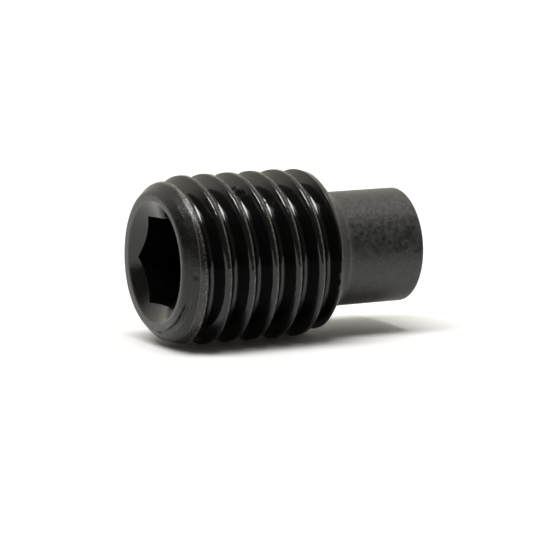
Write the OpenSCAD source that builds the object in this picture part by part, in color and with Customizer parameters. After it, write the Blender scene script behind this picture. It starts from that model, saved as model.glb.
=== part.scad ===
// Grub set screw with a long dog point and a hexagon socket, an M10 x 1.5
// by 16 mm, turned and rolled from one piece of steel.
// It lies on its thread crests along X. The socket end looks to -X and the
// dog point to +X. The origin is on the ground under the middle of its
// length.

/* [Thread] */
// Nominal diameter of the thread
nominal_d = 10; // [10:0.5:12]
// Outside diameter over the rolled crests
major_d = 9.85; // [9.74:0.01:9.98]
// Axial distance from one crest to the next
pitch = 1.5; // [1.25:0.05:1.75]
// Where the first crest passes the resting side, from the socket end
first_crest = 1.29; // [0.2:0.01:1.6]
// Where the first groove begins to form, from the socket end to its middle
groove_start = 0.55; // [0.3:0.05:1]
// Where the last groove has run out, from its middle to the dog
groove_stop = 0.75; // [0.5:0.05:1.2]
// Distance over which a groove grows to its full depth
groove_runout = 0.5; // [0.2:0.05:1]
// Flat facets in each turn of the thread
thread_sides = 24; // [24:6:48]

/* [Length] */
// Overall length from the socket end to the tip of the dog
length = 16; // [14:0.5:30]
// Length of the dog point
dog_l = 4.95; // [3:0.05:6]

/* [Dog point] */
// Diameter of the dog point
dog_d = 6.76; // [6:0.02:7.2]
// Angle of the body's cone above the dog, from the screw's axis
dog_cone_angle = 48; // [40:1:60]
// Radius of the fillet where the dog meets the body
dog_fillet = 0.6; // [0.1:0.05:1]
// Edge break around the tip of the dog
tip_break = 0.12; // [0.05:0.01:0.4]

/* [Socket end] */
// Depth below the crests at which the flat end face goes over into its shoulder
face_drop = 1.065; // [0.9:0.005:1.2]
// Radius of the shoulder between the end face and the 45 degree chamfer
shoulder_round = 0.4; // [0.1:0.05:0.6]
// Width of the flat ring that the countersink leaves of the end face
ring_w = 0.31; // [0.1:0.01:0.5]
// Full angle of the countersink
countersink_angle = 120; // [90:5:130]
// Width of the hexagon across its flats
socket_af = 5.04; // [4:0.02:5.2]
// Depth of the hexagon's straight walls
socket_depth = 6; // [3:0.1:7]
// Turn of the hexagon about the screw's axis
socket_turn = 35.5; // [0:0.5:60]

/* [Body] */
// Depth below the crests at which the chamfer begins
shoulder_drop = 0.36; // [0.1:0.01:0.45]
// Depth below the crests at which the dog's cone begins
cone_drop = 0.18; // [0.1:0.01:0.45]
// Angle of the tapers that rise from there to the crests, from the screw's axis
taper_angle = 15; // [14:1:30]

/* [Hidden] */
round_fn = 96;
major_r = major_d / 2;
dog_r = dog_d / 2;
shoulder_r = major_r - shoulder_drop;
cone_r = major_r - cone_drop;
face_r = major_r - face_drop;
body_l = length - dog_l;
flank_angle = 30;

// A metric thread has a crest flat of an eighth of the pitch at the nominal
// diameter, and a root rounded at 0.144 of the pitch
crest_w = pitch / 8 + (nominal_d - major_d) * tan(flank_angle);
root_round = 0.144 * pitch;
root_w = 2 * root_round * cos(flank_angle);
root_sag = root_round * (1 - sin(flank_angle));
flank_w = (pitch - crest_w - root_w) / 2;
thread_depth = flank_w / tan(flank_angle) + root_sag;
root_steps = 3;

// The facets touch the true cylinder at their middles, so the thread is as
// thick as its diameter says
crest_r = major_r / cos(180 / thread_sides);
root_bottom = major_r - thread_depth;

// One turn of the thread's section, as [distance along the screw, radius]
root_arc = [for (i = [0:root_steps])
    let (a = -60 + 120 * i / root_steps)
    [pitch / 2 + root_round * sin(a), root_bottom + root_round * (1 - cos(a))]];
section = concat([[-crest_w / 2, crest_r], [crest_w / 2, crest_r]], root_arc);
section_n = len(section);
turns = ceil(length / pitch) + 3;
column_n = turns * section_n;

// Share of its full depth that a groove has where its middle is at z. The
// dies leave the blank smooth at both ends of the body
function groove_share(z) = max(0, min(1, (z - groove_start) / groove_runout,
    (body_l - groove_stop - z) / groove_runout));

// Columns of points stand around the screw. The last joins the first one
// turn further on
function column_point(j, m) =
    let (phi = (j + 0.5) * 360 / thread_sides,
         p = section[m % section_n],
         z = first_crest + (floor(m / section_n) - 2 + phi / 360) * pitch,
         r = crest_r - (crest_r - p[1]) * groove_share(z + pitch / 2))
    [r * cos(phi), r * sin(phi), z + p[0]];

thread_points = concat(
    [for (j = [0:thread_sides - 1]) for (m = [0:column_n - 1]) column_point(j, m)],
    [[0, 0, first_crest - 2 * pitch], [0, 0, first_crest + (turns - 2) * pitch]]);
low_centre = thread_sides * column_n;
high_centre = low_centre + 1;
function at(j, m) = j < thread_sides ? j * column_n + m : m + section_n;

side_faces = [for (j = [0:thread_sides - 1])
    for (m = [0:column_n - 2 - (j < thread_sides - 1 ? 0 : section_n)])
    for (half = [0:1])
    half == 0 ? [at(j, m), at(j + 1, m + 1), at(j + 1, m)]
              : [at(j, m), at(j, m + 1), at(j + 1, m + 1)]];

// The open rim at each end runs around the screw and back down the step
low_rim = concat([for (j = [0:thread_sides - 1]) at(j, 0)],
    [for (m = [section_n:-1:1]) at(0, m)]);
high_rim = concat([for (j = [0:thread_sides - 1]) at(j, column_n - 1)],
    [for (m = [1:section_n]) at(thread_sides - 1, column_n - 1 - m)]);
low_faces = [for (i = [0:len(low_rim) - 1])
    [low_centre, low_rim[i], low_rim[(i + 1) % len(low_rim)]]];
high_faces = [for (i = [0:len(high_rim) - 1])
    [high_centre, high_rim[(i + 1) % len(high_rim)], high_rim[i]]];

// An endless bar with the thread on it
module thread_bar() {
    polyhedron(points = thread_points, faces = concat(side_faces, low_faces, high_faces), convexity = 10);
}

// The blank as it is turned: a narrow end face with a rounded shoulder, a
// cone and a shallow taper at either end of the body, and the dog point with
// a fillet at its root and an edge break at its tip. Between the tapers it
// leaves room for the thread
module turned_blank() {
    reach = crest_r + 0.1;
    shoulder = [for (i = [0:4])
        let (t = 45 * i / 4)
        [face_r + shoulder_round * sin(t), shoulder_round * (1 - cos(t))]];
    chamfer_z = shoulder[4][1] + shoulder_r - shoulder[4][0];
    cone_z = body_l - (cone_r - dog_r) / tan(dog_cone_angle);
    fillet_z = body_l + dog_fillet * tan(dog_cone_angle / 2);
    fillet = [for (i = [0:5])
        let (t = dog_cone_angle * (1 - i / 5))
        [dog_r + dog_fillet * (1 - cos(t)), fillet_z - dog_fillet * sin(t)]];
    rotate_extrude($fn = round_fn)
    polygon(concat([[0, 0]], shoulder,
        [[shoulder_r, chamfer_z], [reach, chamfer_z + (reach - shoulder_r) / tan(taper_angle)],
        [reach, cone_z - (reach - cone_r) / tan(taper_angle)], [cone_r, cone_z]], fillet,
        [[dog_r, length - tip_break], [dog_r - tip_break, length], [0, length]]));
}

// The hexagon socket, with its countersunk mouth and drilled bottom
module socket() {
    slope = tan(90 - countersink_angle / 2);
    mouth_r = face_r - ring_w + 0.2 / slope;
    drill_r = socket_af / 2 - 0.02;
    rotate([0, 0, socket_turn])
    translate([0, 0, -1])
    cylinder(h = socket_depth + 1, r = socket_af / 2 / cos(30), $fn = 6);
    translate([0, 0, -0.2])
    cylinder(h = mouth_r * slope, r1 = mouth_r, r2 = 0, $fn = round_fn);
    translate([0, 0, socket_depth - 0.01])
    cylinder(h = drill_r * tan(30), r1 = drill_r, r2 = 0, $fn = round_fn);
}

module set_screw() {
    color("#3b3b3a")
    translate([-length / 2, 0, major_r])
    rotate([0, 90, 0])
    difference() {
        intersection() {
            thread_bar();
            turned_blank();
        }
        socket();
    }
}

set_screw();
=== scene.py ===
# %% [markdown]
# # A grub screw in black oxide steel
# The real object is one piece: a bar of steel, turned to a blank with a dog
# point, with a hexagon socket punched into one end and a thread rolled onto
# its body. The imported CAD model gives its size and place, so everything
# here is built around that model and keeps its frame. The screw lies along
# X on its thread crests, with its socket towards -X.

# %% Load the frame
import bmesh
import bpy
import math
from mathutils import Matrix, Vector, noise


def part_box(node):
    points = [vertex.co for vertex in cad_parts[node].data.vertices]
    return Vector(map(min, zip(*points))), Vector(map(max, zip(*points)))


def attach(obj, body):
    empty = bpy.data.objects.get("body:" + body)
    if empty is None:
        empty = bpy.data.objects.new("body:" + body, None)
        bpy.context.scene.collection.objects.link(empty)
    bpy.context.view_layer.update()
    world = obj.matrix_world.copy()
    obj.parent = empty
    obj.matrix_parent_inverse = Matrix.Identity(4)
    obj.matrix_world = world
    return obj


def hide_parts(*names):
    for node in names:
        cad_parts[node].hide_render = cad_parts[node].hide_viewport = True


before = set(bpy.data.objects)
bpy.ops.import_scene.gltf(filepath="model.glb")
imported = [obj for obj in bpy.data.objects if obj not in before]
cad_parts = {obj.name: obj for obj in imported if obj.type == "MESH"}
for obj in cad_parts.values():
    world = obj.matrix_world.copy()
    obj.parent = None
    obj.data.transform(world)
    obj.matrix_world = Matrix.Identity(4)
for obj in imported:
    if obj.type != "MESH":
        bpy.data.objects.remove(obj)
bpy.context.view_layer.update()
low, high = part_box("set_screw")
print("the screw is", [round(1000 * (b - a), 2) for a, b in zip(low, high)], "mm")

# %% [markdown]
# ## Sizes
# A designer starts from the few sizes that drive the rest. The length and the
# thread's outside diameter come from the frame. The others are those of an
# M10 screw: its pitch sets the crest, flank and root of the thread, because a
# metric thread has a crest flat of an eighth of the pitch at 10 mm, and a
# root rounded at 0.144 of the pitch. All of them are in millimetres, and all
# distances along the screw are taken from its socket end.

# %% Driving dimensions
MM = 0.001
length = (high.x - low.x) / MM
major_r = (high.z - low.z) / MM / 2
nominal_r = 5
pitch = 1.5
first_crest = 1.29
flank_angle = math.radians(30)

dog_r = 3.38
dog_length = 4.95
dog_fillet = 0.6
dog_cone_angle = math.radians(48)
tip_break = 0.12

face_r = 3.86
shoulder_round = 0.4
shoulder_r = 4.565
cone_r = 4.745
taper_slope = math.tan(math.radians(15))
countersink_r = 3.55
countersink_angle = math.radians(30)
lip_round = 0.25
socket_af = 5.04
socket_depth = 6
socket_turn = math.radians(28.6)

body_length = length - dog_length
print("body", round(body_length, 2), "mm, thread radius", round(major_r, 3), "mm")

# %% [markdown]
# ## The thread's section
# One turn of the thread is drawn once, as a chain of points: the crest flat
# with its corners slightly rounded by the rolling die, the straight flanks and
# the round root. It could be left as five straight lines, but the corners and
# the root are what the light runs along, so points stand closer together
# where the section bends.

# %% One pitch of the thread
crest_width = pitch / 8 + 2 * (nominal_r - major_r) * math.tan(flank_angle)
root_round = 0.144 * pitch
root_width = 2 * root_round * math.cos(flank_angle)
flank_width = (pitch - crest_width - root_width) / 2
flank_depth = flank_width / math.tan(flank_angle)
root_r = major_r - flank_depth - root_round * (1 - math.sin(flank_angle))
crest_round = 0.09


def arc(centre, radius, start, end, steps):
    """Points along an arc, as (distance along the screw, radius)."""
    angles = [start + (end - start) * i / steps for i in range(steps + 1)]
    return [(centre[0] + radius * math.sin(a), centre[1] + radius * math.cos(a)) for a in angles]


def between(a, b, steps):
    """Points strictly between two others."""
    return [(a[0] + (b[0] - a[0]) * i / steps, a[1] + (b[1] - a[1]) * i / steps) for i in range(1, steps)]


def half_section():
    """Half the crest, a flank and half the root, as (distance from the crest's middle, radius)."""
    steep = math.pi / 2 - flank_angle
    corner = crest_width / 2 - crest_round * math.tan(steep / 2)
    down = arc((corner, major_r - crest_round), crest_round, 0, steep, steps=3)
    root = arc((pitch / 2, root_r + root_round), root_round, math.pi + steep, math.pi, steps=4)
    top = [(0, major_r), (corner / 2, major_r)] + down
    return top + between(down[-1], root[0], steps=6) + root


half = half_section()
section = half + [(pitch - z, r) for z, r in reversed(half)][1:-1]
print(len(section), "points a turn, root radius", round(root_r, 3), "mm")

# %% [markdown]
# ## The blank around the thread
# The blank is turned before the thread is rolled: a flat end face with a
# rounded shoulder, a 45 degree chamfer, then a shallow taper up to the full
# crests, and much the same with a 48 degree cone towards the dog. A stack of
# cones would be simpler, but its hard edges would look false. So the radius
# is worked out for each place, and where a taper meets a cone, a soft minimum
# leaves the slightly rounded ridge of the real part. The first taper is a
# little fuller on its near side.

# %% Corners of the blank
shoulder_end = shoulder_round * (1 - math.cos(math.pi / 4))
shoulder_end_r = face_r + shoulder_round * math.sin(math.pi / 4)
chamfer_z = shoulder_end + shoulder_r - shoulder_end_r
cone_z = body_length - (cone_r - dog_r) / math.tan(dog_cone_angle)
fillet_z = body_length + dog_fillet * math.tan(dog_cone_angle / 2)
fillet_start = fillet_z - dog_fillet * math.sin(dog_cone_angle)
lip_r = countersink_r + lip_round * math.tan(countersink_angle / 2)
print("chamfer up to", round(chamfer_z, 2), "mm, cone from", round(cone_z, 2), "mm")

# %% Radius of the blank
ridge_round = 0.05
# Where the first taper is fuller, how far around that reaches, and by how much
fuller_side = math.radians(272)
fuller_reach = 1.6
fuller_offset = 0.1
fuller_by = 0.155
fuller_slope_loss = 0.09


def clamp(value):
    """A value kept between 0 and 1."""
    return min(1.0, max(0.0, value))


def soft_min(a, b, width):
    """The smaller of two values, rounded where they meet."""
    h = max(0.0, width - abs(a - b)) / width
    return min(a, b) - h * h * width / 4


def blank_radius(z, angle):
    """Radius of the turned blank at a distance along the screw and a direction around it."""
    if z < shoulder_end:
        return face_r + math.sqrt(max(0.0, shoulder_round**2 - (shoulder_round - z)**2))
    chamfer = shoulder_end_r + z - shoulder_end
    cone = dog_r + (body_length - z) * math.tan(dog_cone_angle)
    near = clamp(fuller_reach * math.cos(angle - fuller_side) - fuller_offset)
    rise = fuller_by * near
    first_taper = shoulder_r + rise + (z - chamfer_z - rise) * (taper_slope - fuller_slope_loss * near)
    last_taper = cone_r + (cone_z - z) * taper_slope
    return min(soft_min(chamfer, first_taper, ridge_round), soft_min(cone, last_taper, ridge_round))


print("blank radius 1 mm from the end:", round(blank_radius(1, 0), 3), "mm")

# %% [markdown]
# ## The rolled thread
# Two flat dies press the grooves into the blank, and what they displace
# rises into the crests. They don't press at the very ends of the body, so the
# first groove and the last one run out within a third of a turn. A thread cut
# straight through both ends would be quicker, but the smooth first band is
# what the eye meets first on this screw. Rolled crests are also never quite
# closed, so a little noise makes them ragged, and a few dents show where the
# screw knocked against others.

# %% Radius of the thread
groove_start = 0.55
groove_stop = 0.75
groove_runout = 0.5


def section_radius(offset):
    """Radius of the section at a distance from the crest's middle."""
    for (z0, r0), (z1, r1) in zip(half, half[1:]):
        if offset <= z1:
            return r0 + (r1 - r0) * (offset - z0) / (z1 - z0)
    return root_r


def groove_middle(z, angle):
    """Where the middle of the groove around a point lies along the screw."""
    turn_start = first_crest + pitch * angle / (2 * math.pi)
    return turn_start + pitch * math.floor((z - turn_start) / pitch) + pitch / 2


def thread_radius(z, angle):
    """Radius of the rolled thread, with the run-outs of its first and last groove."""
    groove = groove_middle(z, angle)
    grown = (groove - groove_start) / groove_runout
    ended = (body_length - groove_stop - groove) / groove_runout
    return major_r - (major_r - section_radius(pitch / 2 - abs(z - groove))) * clamp(min(grown, ended))


print("thread radius in the third groove:", round(thread_radius(groove_middle(4, 0), 0), 3), "mm")

# %% Ragged crests and small dents
ragged_depth = 0.018
ragged_per_mm = 3.1
# How fast the noise fades from one scale to the next, the gap between its scales, and their number
ragged_noise = (0.8, 2.2, 4)
ragged_share = 0.2
crest_band = 0.09
crest_fade = 0.06
dent_length = 0.07
dent_degrees = 1.6
dent_reach = 0.25

# Each dent is (distance along the screw, degrees around it, depth), and a
# negative depth is the burr beside it
dents = [
    (4.58, 196, 0.05), (4.66, 200, -0.04), (4.68, 206, 0.05), (4.74, 211, -0.04), (4.78, 216, 0.05),
    (4.45, 203, 0.04), (6.12, 213, 0.05), (6.20, 218, -0.05), (6.28, 224, 0.05), (6.70, 287, 0.04),
    (6.78, 291, -0.04), (5.56, 305, 0.05), (8.62, 219, 0.05), (2.95, 262, 0.04), (7.24, 276, 0.04),
]


def angle_gap(angle, degrees):
    """Degrees from a direction around the screw, between -180 and 180."""
    return (math.degrees(angle) - degrees + 180) % 360 - 180


def dent_depth(z, angle):
    """Depth of the dents that handling has left in the thread."""
    depth = 0.0
    for place, degrees, deep in dents:
        if abs(z - place) < dent_reach:
            along = (z - place) / dent_length
            around = angle_gap(angle, degrees) / dent_degrees
            depth += deep * math.exp(-along ** 2 - around ** 2)
    return depth


def screw_radius(z, angle):
    """Radius of the finished body: the thread inside the blank, with its marks."""
    thread = thread_radius(z, angle)
    place = Vector((thread * math.cos(angle), thread * math.sin(angle), z))
    ragged = max(0.0, noise.fractal(place * ragged_per_mm, *ragged_noise) + ragged_share)
    crest = clamp((thread - (major_r - crest_band)) / crest_fade)
    thread -= ragged_depth * ragged * crest + dent_depth(z, angle)
    return soft_min(thread, blank_radius(z, angle), ridge_round)


print(len(dents), "dents and burrs in the thread")

# %% [markdown]
# ## Spinning the skin
# A spin with a shift along its axis makes a helix: the chain of sections is
# turned once around the screw while it moves one pitch, and its last column
# then lies on the first, one turn further on, where the doubles are merged.
# A Screw modifier could do the same, but a spin leaves a mesh whose points
# can be moved at once. Only a sixth is spun, and five copies complete it,
# because a spin looks through its whole mesh at each step.

# %% A spun sheet
columns = 240
sectors = 6
sector_angle = 2 * math.pi / sectors
same_point = 0.0005


def sweep(profile, advance=0.0):
    """Spins a profile of (distance, radius) once around, while it moves forward by advance."""
    bm = bmesh.new()
    c, s = math.cos(socket_turn), math.sin(socket_turn)
    chain = [bm.verts.new((r * c, r * s, z)) for z, r in profile]
    edges = [bm.edges.new(pair) for pair in zip(chain, chain[1:])]
    bmesh.ops.spin(
        bm, geom=chain + edges, cent=(0, 0, 0), axis=(0, 0, 1), dvec=(0, 0, advance / columns),
        angle=sector_angle, steps=columns // sectors, use_merge=False, use_duplicate=False,
    )
    first = bm.verts[:] + bm.edges[:] + bm.faces[:]
    for k in range(1, sectors):
        copy = bmesh.ops.duplicate(bm, geom=first)["geom"]
        moved = [v for v in copy if isinstance(v, bmesh.types.BMVert)]
        bmesh.ops.rotate(bm, cent=(0, 0, 0), matrix=Matrix.Rotation(k * sector_angle, 3, "Z"), verts=moved)
        bmesh.ops.translate(bm, vec=(0, 0, k * advance / sectors), verts=moved)
    bmesh.ops.remove_doubles(bm, verts=bm.verts, dist=same_point)
    return bm


def shape_body(bm, start, end):
    """Moves every point to the finished outline, and what lies beyond either end to that end."""
    for v in bm.verts:
        angle = math.atan2(v.co.y, v.co.x)
        z = min(max(v.co.z, start), end)
        r = screw_radius(z, angle)
        v.co = Vector((r * math.cos(angle), r * math.sin(angle), z))
    bmesh.ops.remove_doubles(bm, verts=bm.verts, dist=same_point)
    bmesh.ops.dissolve_degenerate(bm, edges=bm.edges, dist=same_point / 5)
    return bm


print(columns, "columns around the screw, one every", 360 / columns, "degrees")

# %% [markdown]
# ## Rolling the thread
# The helix is kept between the first band and the cone. There its rows
# follow the crests, which keeps them crisp. What lies beyond is made of rings
# later, because a chamfer is round and a helix would cut it at a slant.

# %% Spin the thread
band_start = 0.70
thread_to = cone_z - 0.08


def helix():
    """The thread as a long helical skin, cut where the band and the cone begin."""
    # Spare turns beyond either end of the skin are flattened onto that end
    turns = math.ceil(body_length / pitch) + 3
    start = first_crest + pitch * socket_turn / (2 * math.pi)
    chain = [(start + z + (t - 2) * pitch, r) for t in range(turns) for z, r in section]
    return shape_body(sweep(chain, pitch), band_start, thread_to)


thread = helix()
print("thread skin:", len(thread.verts), "points")

# %% [markdown]
# ## The chamfer, the cone and the dog point
# What a lathe makes is a spin of a profile. The rings use the thread's own
# columns, so their first ones fall on its last ones and are merged with them:
# the screw stays one closed skin, as it is one piece of steel. Separate
# pieces pushed into each other would show a seam.

# %% Turn both ends
shared_ring = 0.002
any_radius = 10.0


def add_skin(bm, other):
    """Adds a second skin to the first, and merges the rings that they share."""
    carrier = bpy.data.meshes.new("carrier")
    other.to_mesh(carrier)
    other.free()
    bm.from_mesh(carrier)
    bpy.data.meshes.remove(carrier)
    bmesh.ops.remove_doubles(bm, verts=bm.verts, dist=shared_ring)


def rings(start, end, spacing):
    """Rings of the finished outline between two distances along the screw."""
    first, last = (start, any_radius), (end, any_radius)
    rows = [first] + between(first, last, math.ceil((end - start) / spacing)) + [last]
    return shape_body(sweep(rows), start, end)


def dog_profile():
    """The fillet at the dog's root, its side, the broken edge and the end face."""
    fillet = arc((fillet_z, dog_r + dog_fillet), dog_fillet, math.pi + dog_cone_angle, math.pi, steps=6)
    edge = arc((length - tip_break, dog_r - tip_break), tip_break, 0, math.pi / 2, steps=4)
    side = between(fillet[-1], edge[0], steps=24)
    face = between(edge[-1], (length, 0), steps=12)
    return fillet + side + edge + face + [(length, 0)]


def rim_profile():
    """The rounded shoulder, the flat ring and the rounded lip of the countersink."""
    flat = -math.pi / 2
    shoulder = arc((shoulder_round, face_r), shoulder_round, flat / 2, flat, steps=10)
    lip = arc((lip_round, lip_r), lip_round, flat, flat - countersink_angle, steps=6)
    return shoulder + between(shoulder[-1], lip[0], steps=4) + lip


rim = rim_profile()
add_skin(thread, rings(shoulder_end, band_start, spacing=0.03))
add_skin(thread, rings(thread_to, fillet_start, spacing=0.05))
add_skin(thread, sweep(dog_profile()))
add_skin(thread, sweep(rim))
print("with both ends:", len(thread.verts), "points")

# %% [markdown]
# ## The uneven rim
# The blank was sawn off, and its face and chamfer were turned in haste. So
# the rim is a little out of round, a lip of metal is folded over its lower
# front, and a short nick crosses the chamfer. A bump map can't change the
# outline or throw the fold's dark line, so the points of the rim themselves
# are moved: a slow swell around it, two bulges, and a raised lip with a
# groove behind it that runs from the chamfer down to the face.

# %% Swell and bulges of the rim
far_swell = 0.07
near_dip = 0.12
even_dip = 0.03
swell_depth = 0.3
far_rise = 0.02
# Each bulge is (degrees around the screw, height, spread in degrees)
bulges = [(60, 0.065, 24), (148, 0.05, 22)]


def rim_shift(r, z, angle):
    """How far a point of the rim lies outside the true circle."""
    far = math.sin(angle)
    swell = far_swell * max(0.0, far) + near_dip * min(0.0, far) - even_dip
    bulge = far_rise * max(0.0, far)
    for degrees, height, spread in bulges:
        bulge += height * math.exp(-(angle_gap(angle, degrees) / spread) ** 2)
    shift = swell * clamp(1 - z / swell_depth) + bulge * clamp(1 - z / chamfer_z)
    return shift * clamp((r - lip_r) / (face_r - lip_r))


print("the face's edge moves", round(rim_shift(face_r, 0, math.pi / 2), 3), "mm out on its far side")

# %% The folded lip
# Where the fold lies, as (degrees around the screw, distance from the flat
# face, measured over the shoulder)
fold_places = [
    (283, 0.50), (291, 0.44), (298, 0.36), (308, 0.318),
    (319, 0.275), (332, 0.183), (349, 0.09), (356, 0.03),
]
fold_fade_in = 18
fold_fade_out = 6
fold_lip = 0.05
fold_lip_width = 0.1
fold_drop = 0.16
fold_drop_width = 0.1
fold_return = 0.11
fold_return_start = 0.16
fold_return_width = 0.2
face_fade = 0.05


def ease(value):
    """A share between 0 and 1 that starts and ends gently."""
    return clamp(value) ** 2 * (3 - 2 * clamp(value))


def fold_line(angle):
    """Distance of the fold from the flat face, over the shoulder, and its share of full depth."""
    at = math.degrees(angle) % 360
    for (a0, s0), (a1, s1) in zip(fold_places, fold_places[1:]):
        if a0 <= at <= a1:
            begun = (at - fold_places[0][0]) / fold_fade_in
            ending = (fold_places[-1][0] - at) / fold_fade_out
            return s0 + (s1 - s0) * (at - a0) / (a1 - a0), min(1.0, begun, ending)
    return 0.0, 0.0


def fold_lift(r, z, angle, lean):
    """Height of the folded lip over the surface, or depth of the groove behind it."""
    along = shoulder_round * lean + max(0.0, z - shoulder_end) * math.sqrt(2)
    fold, share = fold_line(angle)
    off = along - fold
    if off < 0:
        lift = fold_lip * math.exp(-(off / fold_lip_width) ** 2)
    else:
        lift = fold_lip - fold_drop * ease(off / fold_drop_width)
    lift += fold_return * ease((off - fold_return_start) / fold_return_width)
    return lift * share * clamp((r - face_r) / face_fade + 1)


print("the fold runs over", fold_places[-1][0] - fold_places[0][0], "degrees")

# %% The nick, and the rim as a whole
nick_degrees = 272.5
nick_spread = 2.2
nick_depth = 0.08
nick_from = 0.36
nick_to = 0.66
nick_fade = 0.06
rim_end = band_start - 0.02


def nick(z, angle):
    """Depth of the short nick that crosses the chamfer."""
    across = clamp(1 - abs(angle_gap(angle, nick_degrees)) / nick_spread)
    return nick_depth * across * clamp((z - nick_from) / nick_fade) * clamp((nick_to - z) / nick_fade)


def uneven_rim(v):
    """Moves a point of the shoulder or the chamfer as the saw and the lathe left it."""
    r, z = math.hypot(v.co.x, v.co.y), v.co.z
    if r < lip_r or z > rim_end:
        return
    angle = math.atan2(v.co.y, v.co.x)
    lean = math.acos(max(math.sqrt(0.5), 1 - z / shoulder_round)) if z < shoulder_round else math.pi / 4
    lift = fold_lift(r, z, angle, lean)
    r += rim_shift(r, z, angle) + lift * math.sin(lean) - nick(z, angle)
    v.co = Vector((r * math.cos(angle), r * math.sin(angle), max(0.0, z - lift * math.cos(lean))))


for v in thread.verts:
    uneven_rim(v)
reach = max(math.hypot(v.co.x, v.co.y) for v in thread.verts if v.co.z < rim_end)
print("the rim now reaches a radius of", round(reach, 3), "mm")

# %% [markdown]
# ## The socket
# The socket is a hexagon punched through a 120 degree countersink, which
# leaves a curved scallop on each flat. A boolean with a hexagonal bar would
# leave long thin triangles. A spin gives it the screw's own columns instead,
# and each column's rows then follow the countersink down to the hexagon's
# wall, so that the scallops' edges and the hexagon's corners stay crisp.

# %% Punch the socket
cone_rows = 8
wall_rows = 24
drill_rows = 8


def hexagon_radius(angle):
    """Distance from the axis to the hexagon's wall in a direction."""
    side = math.pi / 3
    off = (angle - socket_turn) % side - side / 2
    return socket_af / 2 / math.cos(off)


def socket_point(row, angle):
    """Where a row of the socket's skin lies, as (distance along the screw, radius)."""
    wall = hexagon_radius(angle)
    lip = rim[-1]
    slope = math.tan(countersink_angle)
    meet = (lip[0] + (lip[1] - wall) * slope, wall)
    if row <= cone_rows:
        return between(lip, meet, cone_rows)[row - 1] if 0 < row < cone_rows else (lip, meet)[row > 0]
    if row <= cone_rows + wall_rows:
        share = (row - cone_rows) / wall_rows
        return (meet[0] + (socket_depth - meet[0]) * share, wall)
    share = (row - cone_rows - wall_rows) / drill_rows
    drill_r = socket_af / 2
    if share <= 0.5:
        return (socket_depth, wall + (drill_r - wall) * share * 2)
    drill_tip = socket_depth + drill_r * slope
    inner = (share - 0.5) * 2
    return (socket_depth + (drill_tip - socket_depth) * inner, drill_r * (1 - inner))


def socket_skin():
    """The socket's skin, from the countersink's lip to the drilled bottom."""
    rows = cone_rows + wall_rows + drill_rows
    bm = sweep([(row, any_radius) for row in range(rows)] + [(rows, 0)])
    for v in bm.verts:
        angle = math.atan2(v.co.y, v.co.x)
        z, r = socket_point(round(v.co.z), angle)
        v.co = Vector((r * math.cos(angle), r * math.sin(angle), z))
    bmesh.ops.remove_doubles(bm, verts=bm.verts, dist=shared_ring)
    return bm


add_skin(thread, socket_skin())
print("with the socket:", len(thread.verts), "points")

# %% [markdown]
# ## Where the surface is worn, and where light is painted
# Black oxide wears off first where the screw rubs: along the dog side of its
# crests, at the lip of the countersink, on the ridge of the first band and
# around the tip. The lighter colour of the lip and the ridge is also a painted
# highlight, much stronger on the lip's far side, and a lighter tint on the cone
# at the dog's root is painted light, standing for the floor's reflection. These
# places follow the shape, so a painted mask or a noise in space would miss
# them. Instead, each point of the skin says how much it belongs to a crest, to
# a worn crest and to an edge that is worn or painted lighter, and the materials
# read these three values.

# %% Crests and their worn side
crest_depth = 0.10
crest_rise = 0.05
root_margin = 0.05
blank_fade = 0.03
band_fade = 0.02
worn_from = 0.1
worn_rise = 0.6
band_wear = 0.35
# One side of the first turn has kept most of its oxide
spared_degrees = 258
spared_spread = 22
spared_share = 0.75
spared_end = 2.2
spared_fade = 0.4


def blank_share(z, r, angle):
    """1 where the thread was left as smooth as the blank, 0 where the dies pressed."""
    if not (chamfer_z < z < fillet_start and r > root_r - root_margin):
        return 0.0
    return clamp((thread_radius(z, angle) - blank_radius(z, angle)) / blank_fade + 0.5)


def crest_share(z, r, angle):
    """1 on the crests and on the smooth bands at both ends of the thread."""
    body = chamfer_z < z < fillet_start and r > root_r - root_margin
    in_band = clamp((z - band_start + band_fade / 2) / band_fade) * clamp((cone_z - z) / blank_fade)
    rolled = clamp((r - (major_r - crest_depth)) / crest_rise) * body
    return max(rolled, blank_share(z, r, angle)) * in_band


def worn_share(z, r, angle):
    """1 on the dog side of the crests, where the oxide has rubbed off."""
    across = (z - groove_middle(z, angle) + pitch / 2) / (crest_width / 2)
    across -= 2 * pitch / crest_width * (across > pitch / crest_width)
    band = band_wear * blank_share(z, r, angle) * (z < length / 2)
    worn = crest_share(z, r, angle) * max(clamp((across - worn_from) / worn_rise), band)
    spared = math.exp(-(angle_gap(angle, spared_degrees) / spared_spread) ** 2)
    return worn * (1 - spared_share * spared * clamp((spared_end - z) / spared_fade))


print("crests count from a radius of", round(major_r - crest_depth, 3), "mm")

# %% Worn edges and painted highlights
lip_width = 0.08
lip_depth = 0.06
# The lip's share is wear plus a painted highlight, and the part that grows towards the far side is painted
# highlight only
lip_wear_and_highlight = 0.55
lip_far_side_highlight = 0.45
# The ridge's share is wear plus a painted highlight
ridge_wear_and_highlight = 0.7
ridge_width = 0.035
tip_edge = length - 0.3 * tip_break
tip_width = 0.1
tip_reach = 0.2
# The cone's share is painted light: a lighter tint that stands for the floor's reflection
cone_painted_light = 0.22
cone_fade_in = 0.1
cone_fade_out = 0.3
cone_past_body = 0.4


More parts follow.
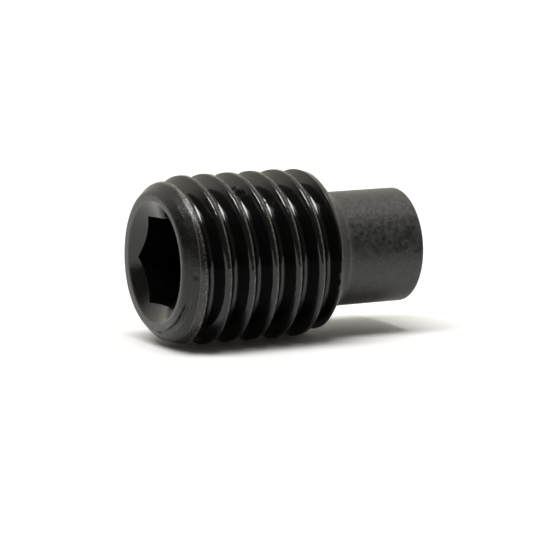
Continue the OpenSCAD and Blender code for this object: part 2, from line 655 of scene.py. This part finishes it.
def edge_wear_and_highlight_share(z, r, angle):
    """1 on the countersink's lip and the tip's edge, less on the band's ridge and the cone: wear, with a
    painted highlight on the lip and the ridge and painted light on the cone.
    """
    lip = tip = 0.0
    if z < lip_depth:
        # Painted highlight on the lip, strong on its far side and faint on its near side, on top of its
        # wear
        lip = clamp(1 - abs(r - countersink_r) / lip_width) * (lip_wear_and_highlight + lip_far_side_highlight * math.sin(angle))
    if r > dog_r - tip_reach:
        tip = clamp(1 - abs(z - tip_edge) / tip_width)
    ridge = ridge_wear_and_highlight * clamp(1 - abs(z - band_start) / ridge_width) * blank_share(z, r, angle)
    cone = clamp((z - cone_z) / cone_fade_in) * clamp((body_length + cone_past_body - z) / cone_fade_out)
    return max(lip, ridge, tip, cone_painted_light * cone)


def mark_zones(bm):
    """Writes the three shares into the skin, one value a point each."""
    shares = {"crest": crest_share, "worn": worn_share, "edge": edge_wear_and_highlight_share}
    for name, share in shares.items():
        layer = bm.verts.layers.float.new(name)
        for v in bm.verts:
            v[layer] = share(v.co.z, math.hypot(v.co.x, v.co.y), math.atan2(v.co.y, v.co.x))


mark_zones(thread)
print("zones marked on", len(thread.verts), "points")

# %% [markdown]
# ## Closing the skin
# Merged skins can face either way, so the normals are worked out again once
# everything is joined. Edges sharper than a limit stay sharp and all others
# are shaded smooth, which a bevel on every edge would do at a far greater
# cost. Last, the screw is turned from its own axis onto X and lifted so that
# its crests touch the floor.

# %% Close and lay down
sharp_angle = math.radians(32)


def finish_mesh(bm, name):
    """Turns the skin outwards, lays it along X and makes it an object in metres."""
    bmesh.ops.recalc_face_normals(bm, faces=bm.faces)
    place = Matrix.Translation((-length / 2, 0, major_r)) @ Matrix.Rotation(math.pi / 2, 4, "Y")
    bmesh.ops.transform(bm, matrix=Matrix.Scale(MM, 4) @ place, verts=bm.verts)
    open_edges = sum(1 for e in bm.edges if not e.is_manifold)
    volume = bm.calc_volume() / MM**3
    triangles = sum(len(f.verts) - 2 for f in bm.faces)
    print(name, "open edges", open_edges, "volume", round(volume, 1), "mm3, triangles", triangles)
    for e in bm.edges:
        e.smooth = len(e.link_faces) == 2 and e.calc_face_angle(0) < sharp_angle
    for f in bm.faces:
        f.smooth = True
    mesh = bpy.data.meshes.new(name)
    bm.to_mesh(mesh)
    bm.free()
    thing = bpy.data.objects.new(name, mesh)
    bpy.context.scene.collection.objects.link(thing)
    return thing


screw = finish_mesh(thread, "rolled_screw")

# %% [markdown]
# ## Materials
# Black oxide is a thin layer of magnetite, grown on the steel in a hot bath
# and sealed with oil. It is black all through and shines as a dark glass
# does, so it is no metal to the shader, except where bare steel shows. How
# the steel below was made sets the shine: wet and deep where the dies
# burnished the flanks, satin where it was sawn or turned. One recipe makes
# all four finishes, with its patterns sized in millimetres.

# %% Helpers for materials
def linear(hex_colour):
    """An sRGB hex colour as linear RGBA."""
    parts = [int(hex_colour[i:i + 2], 16) / 255 for i in (1, 3, 5)]
    return tuple(c / 12.92 if c <= 0.04045 else ((c + 0.055) / 1.055) ** 2.4 for c in parts) + (1.0,)


def node(tree, kind, settings=None, links=None):
    """Adds a node, sets its properties and inputs, and links outputs to its inputs."""
    made = tree.nodes.new(kind)
    for key, value in (settings or {}).items():
        if isinstance(key, int) or key in made.inputs:
            made.inputs[key].default_value = value
        else:
            setattr(made, key, value)
    for key, output in (links or {}).items():
        tree.links.new(output, made.inputs[key])
    return made


def new_material(name):
    """An empty material with its output and a Principled shader."""
    material = bpy.data.materials.new(name)
    material.use_nodes = True
    tree = material.node_tree
    tree.nodes.clear()
    shader = node(tree, "ShaderNodeBsdfPrincipled")
    node(tree, "ShaderNodeOutputMaterial", links={"Surface": shader.outputs["BSDF"]})
    return material, tree, shader


print("white is", linear("#ffffff"))

# %% Patterns of the oxide
# Where the noise begins and ends to count as a patch or as a bare speck
patch_limits = (0.35, 0.65)
speck_limits = (0.49, 0.62)


def oxide_patterns(tree, mottle, grain):
    """Cloudy patches, fine specks and the grain below them, from sizes in millimetres."""
    place = node(tree, "ShaderNodeTexCoord").outputs["Object"]
    clouds = node(
        tree, "ShaderNodeTexNoise",
        {"Scale": 1 / (mottle * MM), "Detail": 6.0, "Roughness": 0.6}, {"Vector": place})
    # The crystals of the oxide are only microns across. That is too fine to
    # show, so the grain is drawn at about a tenth of a millimetre
    grains = node(
        tree, "ShaderNodeTexNoise", {"Scale": 1 / (grain * MM), "Detail": 4.0}, {"Vector": place})
    patches, specks = [
        node(
            tree, "ShaderNodeMapRange", {"From Min": limits[0], "From Max": limits[1]},
            {"Value": pattern.outputs["Fac"]}).outputs["Result"]
        for pattern, limits in ((clouds, patch_limits), (grains, speck_limits))]
    return patches, specks, grains.outputs["Fac"]


print("patches from", patch_limits, "and specks from", speck_limits, "of the noise")

# %% The recipe for black oxide
oxide_ior = 1.5
worn_colour = "#171412"
bare_colour = "#8e8780"
# Lighter colour of the edge share: worn edges, plus a painted highlight on the lip and the ridge and
# painted light on the cone
edge_wear_and_highlight_colour = "#464543"
rough_spread = 0.15
crest_rough = 0.15
worn_rough = 0.42
edge_rough = 0.45
bare_metallic = 0.6
bump_depth = 0.02
patch_height = 0.5


def oxide(name, dark, light, rough, specular, mottle, grain, relief):
    """Black oxide on one kind of surface, mottled and slightly uneven, with bare worn edges and painted
    highlights on some edges.
    """
    material, tree, shader = new_material(name)
    patches, specks, grains = oxide_patterns(tree, mottle, grain)
    crest, worn, edge = [
        node(tree, "ShaderNodeAttribute", {"attribute_name": zone}).outputs["Fac"]
        for zone in ("crest", "worn", "edge")]
    bare = node(
        tree, "ShaderNodeMath", {"operation": "MULTIPLY"}, {0: worn, 1: specks}).outputs["Value"]

    mix = node(
        tree, "ShaderNodeMixRGB", {"Color1": linear(dark), "Color2": linear(light)}, {"Fac": patches})
    # The edge share lightens worn edges and paints a highlight on the lip and the ridge and light on the
    # cone
    for share, shade in ((worn, worn_colour), (bare, bare_colour), (edge, edge_wear_and_highlight_colour)):
        mix = node(
            tree, "ShaderNodeMixRGB", {"Color2": linear(shade)},
            {"Fac": share, "Color1": mix.outputs["Color"]})
    tree.links.new(mix.outputs["Color"], shader.inputs["Base Color"])

    gloss = node(
        tree, "ShaderNodeMapRange",
        {"To Min": rough * (1 - rough_spread), "To Max": rough * (1 + rough_spread)}, {"Value": patches})
    for share, value in ((crest, crest_rough), (worn, worn_rough), (edge, edge_rough)):
        gloss = node(
            tree, "ShaderNodeMapRange", {"To Max": value},
            {"Value": share, "To Min": gloss.outputs["Result"]})
    tree.links.new(gloss.outputs["Result"], shader.inputs["Roughness"])
    metallic = node(tree, "ShaderNodeMapRange", {"To Max": bare_metallic}, {"Value": bare})
    tree.links.new(metallic.outputs["Result"], shader.inputs["Metallic"])

    lumps = node(
        tree, "ShaderNodeMath", {"operation": "MULTIPLY_ADD", 1: patch_height}, {0: patches, 2: grains})
    strength = node(
        tree, "ShaderNodeMapRange", {"To Min": relief, "To Max": 1.0}, {"Value": worn})
    bump = node(
        tree, "ShaderNodeBump", {"Distance": bump_depth * MM},
        {"Height": lumps.outputs["Value"], "Strength": strength.outputs["Result"]})
    tree.links.new(bump.outputs["Normal"], shader.inputs["Normal"])
    shader.inputs["IOR"].default_value = oxide_ior
    shader.inputs["Specular IOR Level"].default_value = specular
    return material


print("oxide with an IOR of", oxide_ior, "and bumps of", bump_depth, "mm")

# %% [markdown]
# ## The four finishes
# Each finish is named for how its surface was made. The thread and the walls
# of the socket were pressed by hard tools and are nearly mirrors. The
# countersink was struck by the punch and keeps some of its polish. The
# chamfer still has the fine marks of the saw and a dull lathe tool, and the
# dog has an even satin grain. One material with masks for all of them would
# be long and hard to read, so each face takes one of four slots.

# %% Finish each face
# The drilled cone ends less than 2 mm below the socket's floor
socket_bottom = socket_depth + 2
scallop_end = 1.5
facing_out = -0.3

finishes = {
    # Deep black with sharp reflections: the flanks that the dies burnished
    "rolled": oxide(
        "rolled_black_oxide", "#050505", "#080808",
        rough=0.11, specular=0.5, mottle=0.4, grain=0.07, relief=0.025),
    # Dark satin with soft cloudy reflections and fine marks: the sawn and chamfered rim
    "sawn": oxide(
        "sawn_black_oxide", "#040404", "#0b0b0a",
        rough=0.27, specular=0.42, mottle=0.4, grain=0.09, relief=0.6),
    # Even grey satin with a paper-like grain: the dog point and its cone
    "turned": oxide(
        "turned_black_oxide", "#101010", "#2c2c2b",
        rough=0.4, specular=0.5, mottle=0.3, grain=0.1, relief=0.65),
    # Smooth, with reflections only slightly soft: the scallops of the countersink
    "punched": oxide(
        "punched_black_oxide", "#030303", "#070707",
        rough=0.12, specular=0.5, mottle=0.35, grain=0.08, relief=0.25),
}


def finish_of(face):
    """The finish of a face, by where it lies on the screw."""
    z = face.center.x / MM + length / 2
    r = math.hypot(face.center.y, face.center.z - high.z / 2) / MM
    if r < countersink_r and z < socket_bottom:
        return "punched" if face.normal.x < facing_out and z < scallop_end else "rolled"
    if z < band_start:
        return "sawn"
    return "turned" if z > thread_to else "rolled"


slots = list(finishes)
for name in slots:
    screw.data.materials.append(finishes[name])
for face in screw.data.polygons:
    face.material_index = slots.index(finish_of(face))
counts = [sum(1 for face in screw.data.polygons if face.material_index == i) for i in range(len(slots))]
print("faces with each finish:", dict(zip(slots, counts)))

# %% Hand the screw to the frame
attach(screw, "root")
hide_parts("set_screw")
print("rolled_screw stands for set_screw")

# %% [markdown]
# ## Floor, light and camera
# A small black glossy thing shows its surroundings more than itself, so the
# studio is planned by its reflections. The camera looks at the socket end
# from the left. Distances are given as the camera sees them: to the right,
# away and up.

# %% Directions as the camera sees them
turn = math.radians(27.42)
ahead = Vector((math.sin(turn), math.cos(turn), 0))
aside = Vector((math.cos(turn), -math.sin(turn), 0))
up = Vector((0, 0, 1))


def seen_from_camera(right, forward, height):
    """A point given to the right of the screw, away from the camera and above the floor."""
    return aside * right + ahead * forward + up * height


print("the camera looks", round(math.degrees(turn), 2), "degrees off the Y axis")

# %% [markdown]
# ## The floor
# The screw lies on pale matt paper. One large sheet gives the background and
# the pale reflection in the flanks. The lower flanks also show something
# darker in front and to the right. Cutting the floor there would change what
# the camera sees of it, so a dark card lies on it that only reflections show.

# %% Lay the paper
paper_rough = 0.9


def flat_sheet(name, size, place, colour):
    """A level sheet of matt paper, which scatters light evenly and has no highlight."""
    mesh = bpy.data.meshes.new(name)
    bm = bmesh.new()
    bmesh.ops.create_grid(bm, x_segments=1, y_segments=1, size=0.5)
    bmesh.ops.scale(bm, vec=(size[0], size[1], 1), verts=bm.verts)
    bmesh.ops.rotate(bm, cent=(0, 0, 0), matrix=Matrix.Rotation(-turn, 3, "Z"), verts=bm.verts)
    bmesh.ops.translate(bm, vec=place, verts=bm.verts)
    bm.to_mesh(mesh)
    bm.free()
    sheet = bpy.data.objects.new(name, mesh)
    bpy.context.scene.collection.objects.link(sheet)
    material, tree, shader = new_material(name + "_matt_paper")
    shader.inputs["Base Color"].default_value = linear(colour)
    shader.inputs["Roughness"].default_value = paper_rough
    mesh.materials.append(material)
    return sheet


flat_sheet("floor", (4, 4), (0, 0, 0), "#d0d0d0")
card_place = seen_from_camera(right=0.227, forward=-0.203, height=0.0002)
card = flat_sheet("shade_card", (0.4, 0.4), card_place, "#202020")
card.visible_camera = False
card.visible_diffuse = False
card.visible_shadow = False
card.visible_transmission = False
print("floor and shade card laid")

# %% [markdown]
# ## The light
# One long softbox hangs above and slightly in front. Its reflection is the
# row of bright streaks on the crests and the broad sheen along the dog. The
# rest comes from the room: pale behind the screw, which lights the tops of
# the flanks, and dark in front, which keeps them black. A second lamp would
# add a second row of streaks, so the room is a soft gradient in the world.

# %% Hang the softbox
def softbox(name, size, place, radiance, roll):
    """A rectangular soft light that faces down, turned with the camera and rolled a little."""
    light = bpy.data.lights.new(name, "AREA")
    light.shape = "RECTANGLE"
    light.size, light.size_y = size
    light.energy = radiance * math.pi * size[0] * size[1]
    lamp = bpy.data.objects.new(name, light)
    bpy.context.scene.collection.objects.link(lamp)
    lamp.visible_camera = False
    lamp.location = place
    lamp.rotation_euler = (0, 0, -turn + roll)
    return lamp


overhead = softbox(
    "overhead", size=(2.0, 0.74), place=seen_from_camera(right=-0.40, forward=-0.40, height=2.0),
    radiance=15.5, roll=math.radians(3.5))
print("softbox of", round(overhead.data.energy, 1), "W")

# %% Paint the room
# The room is palest beyond the screw, 31 degrees above the horizon
pale_side = ahead * 0.857 + up * 0.515
glow_begins = 0.12
glow_ends = 0.55
dark_strength = 0.12
pale_strength = 0.98
backdrop_strength = 1.0

world = bpy.data.worlds.new("studio")
bpy.context.scene.world = world
world.use_nodes = True
tree = world.node_tree
towards = node(tree, "ShaderNodeTexCoord").outputs["Generated"]
facing = node(tree, "ShaderNodeVectorMath", {"operation": "DOT_PRODUCT", 1: pale_side}, {0: towards})
limits = {"From Min": glow_begins, "From Max": glow_ends, "To Min": dark_strength, "To Max": pale_strength}
glow = node(
    tree, "ShaderNodeMapRange", {"interpolation_type": "SMOOTHSTEP", **limits},
    {"Value": facing.outputs["Value"]})
seen = node(tree, "ShaderNodeLightPath").outputs["Is Camera Ray"]
strength = node(
    tree, "ShaderNodeMapRange", {"To Max": backdrop_strength},
    {"Value": seen, "To Min": glow.outputs["Result"]})
background = tree.nodes["Background"]
background.inputs["Color"].default_value = linear("#fffaee")
tree.links.new(strength.outputs["Result"], background.inputs["Strength"])
print("the room is pale towards", [round(c, 2) for c in pale_side])

# %% [markdown]
# ## The camera
# A long lens from a short height keeps the screw's ellipses slim. Its place
# and lens come from a fit of the screw's known sizes to what the picture
# shows, which is surer than moving it by eye.

# %% Camera
aim = Vector((-2.262, -3.015, 4.711)) * MM
rise = math.radians(8.95)
distance = 175.2 * MM
forward = ahead * math.cos(rise) - up * math.sin(rise)
camera_data = bpy.data.cameras.new("camera")
camera_data.sensor_width = 36
camera_data.lens = 206.0
camera = bpy.data.objects.new("camera", camera_data)
bpy.context.scene.collection.objects.link(camera)
camera.location = aim - forward * distance
camera.rotation_euler = forward.to_track_quat("-Z", "Y").to_euler()
bpy.context.scene.camera = camera
bpy.context.scene.view_settings.view_transform = "Standard"
print("camera", round(distance / MM, 1), "mm from its aim")
